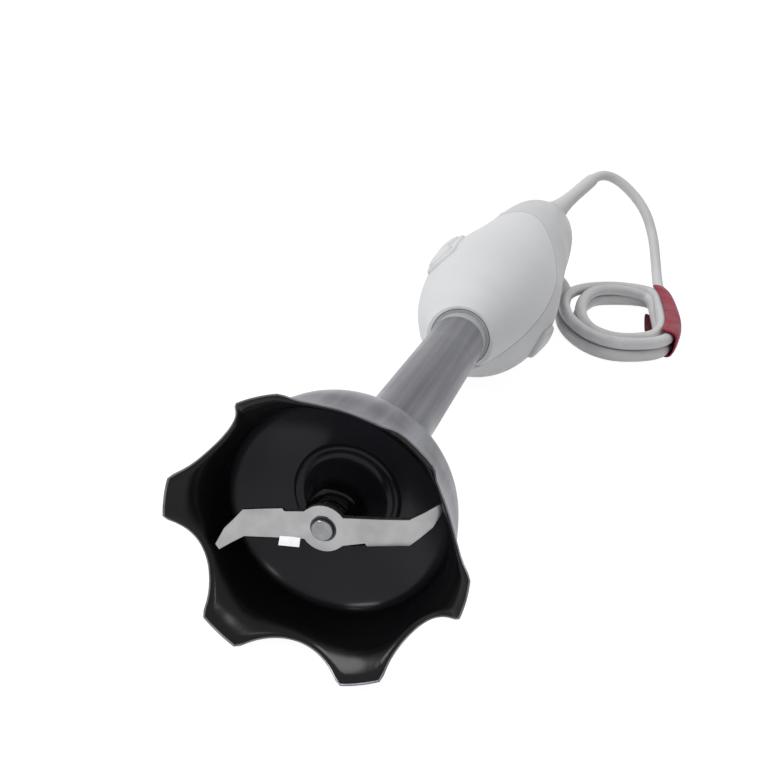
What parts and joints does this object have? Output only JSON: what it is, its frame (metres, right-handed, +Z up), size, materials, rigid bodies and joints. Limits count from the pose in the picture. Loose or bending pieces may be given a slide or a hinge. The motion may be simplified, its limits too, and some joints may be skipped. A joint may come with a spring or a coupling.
{
  "type": "immersion blender",
  "caption": "Hand-held immersion blender lying on its side: steel stem with a six-lobed blade guard, white motor unit, tied white mains cord.",
  "frame": {"origin": "on the surface it lies on, below the middle of the blender (cord left out)", "axes": "+Y along the blender from the blade guard to the cord end, +Z up, +X to the right seen from the guard"},
  "size_m": [0.129, 0.523, 0.0696],
  "materials": {
    "brushed_steel": "brushed",
    "bright_steel": "polished",
    "blade_steel": "satin",
    "dull_steel": "matte",
    "dull_aluminium": "matte",
    "brass": "satin",
    "bronze": "matte",
    "copper": "satin",
    "carbon": "matte",
    "white_plastic": "gloss",
    "shade_plastic": "gloss",
    "grey_plastic": "satin",
    "dark_plastic": "satin",
    "black_plastic": "gloss",
    "yellow_plastic": "satin",
    "green_board": "satin",
    "black_rubber": "matte",
    "white_rubber": "satin",
    "white_cord": "satin",
    "red_tie": "satin"
  },
  "bodies": {
    "root": {"front_housing": "white_plastic", "rear_housing": "shade_plastic", "housing_screws": "bright_steel", "button_bezel": "white_plastic", "switch_board": "green_board", "power_switch": "black_plastic", "turbo_switch": "black_plastic", "socket_sleeve": "dark_plastic", "latch_clip": "bright_steel", "front_bearing": "bright_steel", "rear_bearing": "bright_steel", "front_bracket": "dull_aluminium", "rear_bracket": "dull_aluminium", "brush_holders": "brass", "carbon_brushes": "carbon", "brush_springs": "bright_steel", "motor_stator": "dull_steel", "field_coils": "copper", "control_board": "green_board", "suppression_capacitor": "yellow_plastic", "speed_triac": "black_plastic", "mains_terminal": "grey_plastic", "cord_boot": "white_rubber", "inner_lead": "white_cord", "cord_lead": "white_cord", "cord_tail": "white_cord", "cord_hank": "white_cord", "cord_tie": "red_tie", "plug_body": "white_rubber", "plug_pins": "brass"},
    "stem": {"bell_shell": "brushed_steel", "stem_tube": "brushed_steel", "bell_liner": "black_plastic", "shaft_seal": "black_rubber", "seal_retainer": "bright_steel", "lower_bush": "bronze", "stem_collar": "grey_plastic", "collar_o_ring": "black_rubber", "upper_bush": "bronze"},
    "blade_unit": {"blade_shaft": "bright_steel", "shaft_washer": "bright_steel", "blade_spacer": "bright_steel", "blade_rivet": "bright_steel", "blade": "blade_steel", "driven_coupling": "black_plastic"},
    "rotor": {"drive_coupling": "black_plastic", "motor_shaft": "bright_steel", "cooling_fan": "grey_plastic", "rotor_core": "dull_steel", "rotor_windings": "copper", "commutator": "copper"},
    "power_button": {"power_button": "white_plastic"},
    "turbo_button": {"turbo_button": "white_plastic"},
    "release_button_right": {"release_button_right": "shade_plastic"},
    "release_button_left": {"release_button_left": "shade_plastic"}
  },
  "joints": [
    {"name": "stem_release", "type": "slide", "parent": "root", "child": "stem", "axis": [0, -1, 0], "range_m": [0, 0.06]},
    {"name": "blade_spin", "type": "hinge", "parent": "stem", "child": "blade_unit", "pos_m": [0, -0.1909, 0.0321], "axis": [0, 1, 0], "continuous": true},
    {"name": "motor_spin", "type": "hinge", "parent": "root", "child": "rotor", "pos_m": [0, 0.04, 0.0321], "axis": [0, 1, 0], "continuous": true},
    {"name": "power_press", "type": "slide", "parent": "root", "child": "power_button", "axis": [0.829, 0, -0.5592], "range_m": [0, 0.0015], "stiffness_N_per_m": 600},
    {"name": "turbo_press", "type": "slide", "parent": "root", "child": "turbo_button", "axis": [0.829, 0, -0.5592], "range_m": [0, 0.0015], "stiffness_N_per_m": 600},
    {"name": "release_right_press", "type": "slide", "parent": "root", "child": "release_button_right", "axis": [-0.9659, 0, 0.2588], "range_m": [0, 0.0015], "stiffness_N_per_m": 900},
    {"name": "release_left_press", "type": "slide", "parent": "root", "child": "release_button_left", "axis": [0.7071, 0, 0.7071], "range_m": [0, 0.0015], "stiffness_N_per_m": 900}
  ],
  "couplings": [
    {"joint": "blade_spin", "follows": "motor_spin", "ratio": 1}
  ]
}
